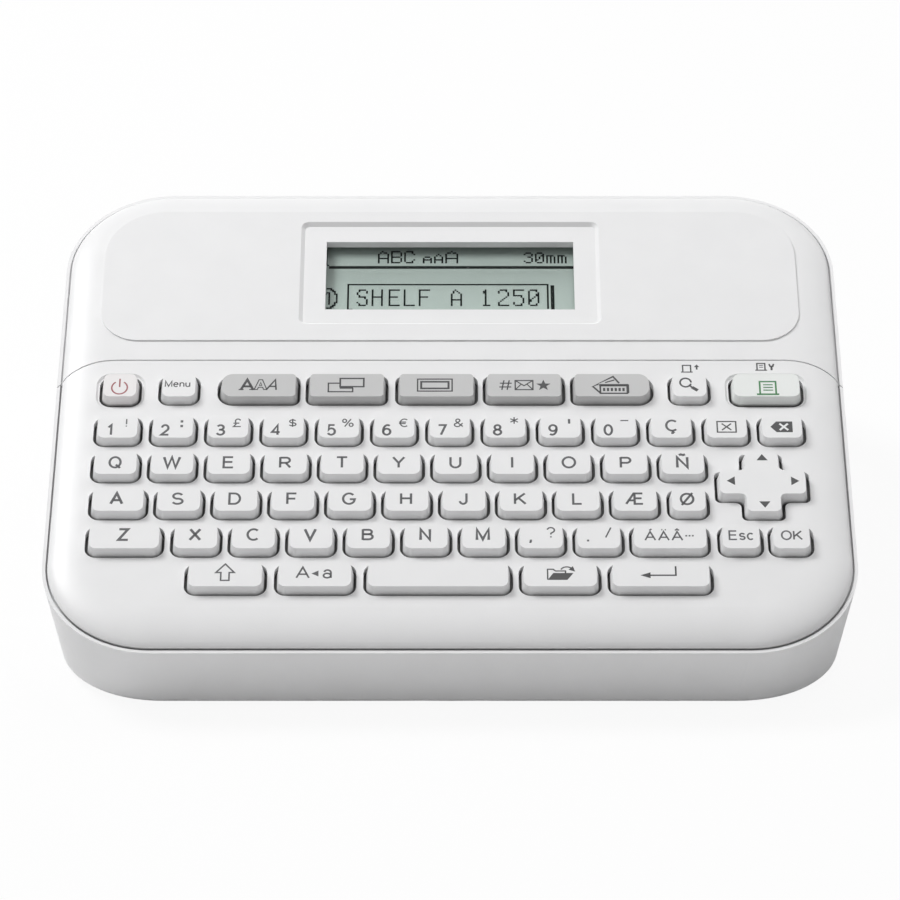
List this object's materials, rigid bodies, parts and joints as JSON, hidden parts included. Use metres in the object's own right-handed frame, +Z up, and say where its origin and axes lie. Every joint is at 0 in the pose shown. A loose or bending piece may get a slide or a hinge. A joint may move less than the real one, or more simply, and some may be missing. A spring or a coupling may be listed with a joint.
{
  "type": "label maker",
  "caption": "Desktop label maker: white wedge case with a tilted keyboard, a hinged rear cover holding the display, and a tape printer with cutter inside.",
  "frame": {"origin": "middle of the footprint on the surface it stands on", "axes": "+X to the user's right along the keyboard rows, +Y to the back, +Z up"},
  "size_m": [0.188, 0.178, 0.0723],
  "materials": {
    "case_white": "fine satin moulding",
    "deck_white": "fine satin moulding",
    "cover_white": "fine satin moulding",
    "key_white": "satin key caps with dark legends",
    "key_grey": "satin grey key caps",
    "key_power": "satin key cap",
    "key_print": "satin key cap",
    "silicone": "moulded silicone",
    "circuit_board": "solder mask",
    "clear_window": "clear window",
    "display": "reflective display",
    "black_plastic": "moulded",
    "steel": "bright",
    "cell_wrap": "shrink wrap",
    "rubber": "soft rubber",
    "chassis_grey": "fine texture",
    "cassette_black": "moulded",
    "tape": "laminated tape",
    "gear_plastic": "acetal",
    "rubber_roller": "ground rubber",
    "brass_pinion": "machined",
    "motor_can": "zinc plated can",
    "lever_grey": "fine texture",
    "blade_steel": "ground edge"
  },
  "bodies": {
    "base": {"lower_case": "case_white", "keyboard_deck": "deck_white", "keypad_mat": "silicone", "key_board": "circuit_board", "hinge_pins": "steel", "battery_cells": "cell_wrap", "battery_contacts": "steel", "main_board": "circuit_board", "power_jack": "black_plastic", "data_socket": "steel", "rubber_feet": "rubber", "case_screws": "steel", "chassis": "chassis_grey", "tape_cassette": "cassette_black", "label_tape": "tape", "print_head": "steel", "feed_motor": "motor_can", "fixed_blade": "blade_steel", "cutter_pin": "steel"},
    "cover": {"cassette_cover": "cover_white", "display_lens": "clear_window", "display_panel": "display", "display_holder": "black_plastic", "display_board": "circuit_board"},
    "battery_door": {"battery_cover": "case_white"},
    "idler": {"idler_gear": "gear_plastic"},
    "platen": {"platen_roller": "rubber_roller", "platen_gear": "gear_plastic"},
    "pinion": {"motor_pinion": "brass_pinion"},
    "spindle": {"ribbon_spindle": "gear_plastic"},
    "cutter": {"cutter_lever": "lever_grey", "moving_blade": "blade_steel"},
    "power_key_body": {"power_key": "key_power"},
    "menu_key_body": {"menu_key": "key_white"},
    "font_key_body": {"font_key": "key_grey"},
    "layout_key_body": {"layout_key": "key_grey"},
    "frame_key_body": {"frame_key": "key_grey"},
    "symbol_key_body": {"symbol_key": "key_grey"},
    "template_key_body": {"template_key": "key_grey"},
    "preview_key_body": {"preview_key": "key_white"},
    "print_key_body": {"print_key": "key_print"},
    "clear_key_body": {"clear_key": "key_white"},
    "backspace_key_body": {"backspace_key": "key_white"},
    "accent_key_body": {"accent_key": "key_white"},
    "escape_key_body": {"escape_key": "key_white"},
    "ok_key_body": {"ok_key": "key_white"},
    "shift_key_body": {"shift_key": "key_white"},
    "caps_key_body": {"caps_key": "key_white"},
    "space_key_body": {"space_key": "key_white"},
    "file_key_body": {"file_key": "key_white"},
    "enter_key_body": {"enter_key": "key_white"},
    "arrow_key_body": {"arrow_key": "key_white"},
    "number_keys_body": {"number_keys": "key_white"},
    "upper_letter_keys_body": {"upper_letter_keys": "key_white"},
    "home_letter_keys_body": {"home_letter_keys": "key_white"},
    "lower_letter_keys_body": {"lower_letter_keys": "key_white"}
  },
  "joints": [
    {"name": "cover_hinge", "type": "hinge", "parent": "base", "child": "cover", "pos_m": [0, 0.0507, 0.06163], "axis": [-1, 0, 0], "range_deg": [0, 78]},
    {"name": "battery_door_slide", "type": "slide", "parent": "base", "child": "battery_door", "axis": [0, -1, 0], "range_m": [0, 0.008]},
    {"name": "cutter_swing", "type": "hinge", "parent": "base", "child": "cutter", "pos_m": [-0.075, 0.02408, 0.01835], "axis": [-1, 0, 0], "range_deg": [0, 18], "stiffness_Nm_per_rad": 0.12, "springref_deg": -11.46},
    {"name": "idler_spin", "type": "hinge", "parent": "base", "child": "idler", "pos_m": [-0.04965, 0.04043, 0.02664], "axis": [0, -0.3827, 0.9239], "continuous": true},
    {"name": "platen_spin", "type": "hinge", "parent": "base", "child": "platen", "pos_m": [-0.054, 0.02544, 0.02043], "axis": [0, -0.3827, 0.9239], "continuous": true},
    {"name": "pinion_spin", "type": "hinge", "parent": "base", "child": "pinion", "pos_m": [-0.06068, 0.04898, 0.03018], "axis": [0, -0.3827, 0.9239], "continuous": true},
    {"name": "spindle_spin", "type": "hinge", "parent": "base", "child": "spindle", "pos_m": [-0.03053, 0.03889, 0.026], "axis": [0, -0.3827, 0.9239], "continuous": true},
    {"name": "power_press", "type": "slide", "parent": "base", "child": "power_key_body", "axis": [0, 0.3827, -0.9239], "range_m": [0, 0.0012], "stiffness_N_per_m": 800, "springref_m": -0.0004},
    {"name": "menu_press", "type": "slide", "parent": "base", "child": "menu_key_body", "axis": [0, 0.3827, -0.9239], "range_m": [0, 0.0012], "stiffness_N_per_m": 800, "springref_m": -0.0004},
    {"name": "font_press", "type": "slide", "parent": "base", "child": "font_key_body", "axis": [0, 0.3827, -0.9239], "range_m": [0, 0.0012], "stiffness_N_per_m": 800, "springref_m": -0.0004},
    {"name": "layout_press", "type": "slide", "parent": "base", "child": "layout_key_body", "axis": [0, 0.3827, -0.9239], "range_m": [0, 0.0012], "stiffness_N_per_m": 800, "springref_m": -0.0004},
    {"name": "frame_press", "type": "slide", "parent": "base", "child": "frame_key_body", "axis": [0, 0.3827, -0.9239], "range_m": [0, 0.0012], "stiffness_N_per_m": 800, "springref_m": -0.0004},
    {"name": "symbol_press", "type": "slide", "parent": "base", "child": "symbol_key_body", "axis": [0, 0.3827, -0.9239], "range_m": [0, 0.0012], "stiffness_N_per_m": 800, "springref_m": -0.0004},
    {"name": "template_press", "type": "slide", "parent": "base", "child": "template_key_body", "axis": [0, 0.3827, -0.9239], "range_m": [0, 0.0012], "stiffness_N_per_m": 800, "springref_m": -0.0004},
    {"name": "preview_press", "type": "slide", "parent": "base", "child": "preview_key_body", "axis": [0, 0.3827, -0.9239], "range_m": [0, 0.0012], "stiffness_N_per_m": 800, "springref_m": -0.0004},
    {"name": "print_press", "type": "slide", "parent": "base", "child": "print_key_body", "axis": [0, 0.3827, -0.9239], "range_m": [0, 0.0012], "stiffness_N_per_m": 800, "springref_m": -0.0004},
    {"name": "clear_press", "type": "slide", "parent": "base", "child": "clear_key_body", "axis": [0, 0.3827, -0.9239], "range_m": [0, 0.0012], "stiffness_N_per_m": 800, "springref_m": -0.0004},
    {"name": "backspace_press", "type": "slide", "parent": "base", "child": "backspace_key_body", "axis": [0, 0.3827, -0.9239], "range_m": [0, 0.0012], "stiffness_N_per_m": 800, "springref_m": -0.0004},
    {"name": "accent_press", "type": "slide", "parent": "base", "child": "accent_key_body", "axis": [0, 0.3827, -0.9239], "range_m": [0, 0.0012], "stiffness_N_per_m": 800, "springref_m": -0.0004},
    {"name": "escape_press", "type": "slide", "parent": "base", "child": "escape_key_body", "axis": [0, 0.3827, -0.9239], "range_m": [0, 0.0012], "stiffness_N_per_m": 800, "springref_m": -0.0004},
    {"name": "ok_press", "type": "slide", "parent": "base", "child": "ok_key_body", "axis": [0, 0.3827, -0.9239], "range_m": [0, 0.0012], "stiffness_N_per_m": 800, "springref_m": -0.0004},
    {"name": "shift_press", "type": "slide", "parent": "base", "child": "shift_key_body", "axis": [0, 0.3827, -0.9239], "range_m": [0, 0.0012], "stiffness_N_per_m": 800, "springref_m": -0.0004},
    {"name": "caps_press", "type": "slide", "parent": "base", "child": "caps_key_body", "axis": [0, 0.3827, -0.9239], "range_m": [0, 0.0012], "stiffness_N_per_m": 800, "springref_m": -0.0004},
    {"name": "space_press", "type": "slide", "parent": "base", "child": "space_key_body", "axis": [0, 0.3827, -0.9239], "range_m": [0, 0.0012], "stiffness_N_per_m": 800, "springref_m": -0.0004},
    {"name": "file_press", "type": "slide", "parent": "base", "child": "file_key_body", "axis": [0, 0.3827, -0.9239], "range_m": [0, 0.0012], "stiffness_N_per_m": 800, "springref_m": -0.0004},
    {"name": "enter_press", "type": "slide", "parent": "base", "child": "enter_key_body", "axis": [0, 0.3827, -0.9239], "range_m": [0, 0.0012], "stiffness_N_per_m": 800, "springref_m": -0.0004},
    {"name": "arrow_press", "type": "slide", "parent": "base", "child": "arrow_key_body", "axis": [0, 0.3827, -0.9239], "range_m": [0, 0.0012], "stiffness_N_per_m": 800, "springref_m": -0.0004},
    {"name": "number_row_press", "type": "slide", "parent": "base", "child": "number_keys_body", "axis": [0, 0.3827, -0.9239], "range_m": [0, 0.0012], "stiffness_N_per_m": 4000, "springref_m": -0.0004},
    {"name": "upper_letter_row_press", "type": "slide", "parent": "base", "child": "upper_letter_keys_body", "axis": [0, 0.3827, -0.9239], "range_m": [0, 0.0012], "stiffness_N_per_m": 4000, "springref_m": -0.0004},
    {"name": "home_letter_row_press", "type": "slide", "parent": "base", "child": "home_letter_keys_body", "axis": [0, 0.3827, -0.9239], "range_m": [0, 0.0012], "stiffness_N_per_m": 4000, "springref_m": -0.0004},
    {"name": "lower_letter_row_press", "type": "slide", "parent": "base", "child": "lower_letter_keys_body", "axis": [0, 0.3827, -0.9239], "range_m": [0, 0.0012], "stiffness_N_per_m": 4000, "springref_m": -0.0004}
  ],
  "couplings": [
    {"joint": "platen_spin", "follows": "idler_spin", "ratio": -1.8},
    {"joint": "pinion_spin", "follows": "idler_spin", "ratio": -3},
    {"joint": "spindle_spin", "follows": "idler_spin", "ratio": -1.2857}
  ]
}
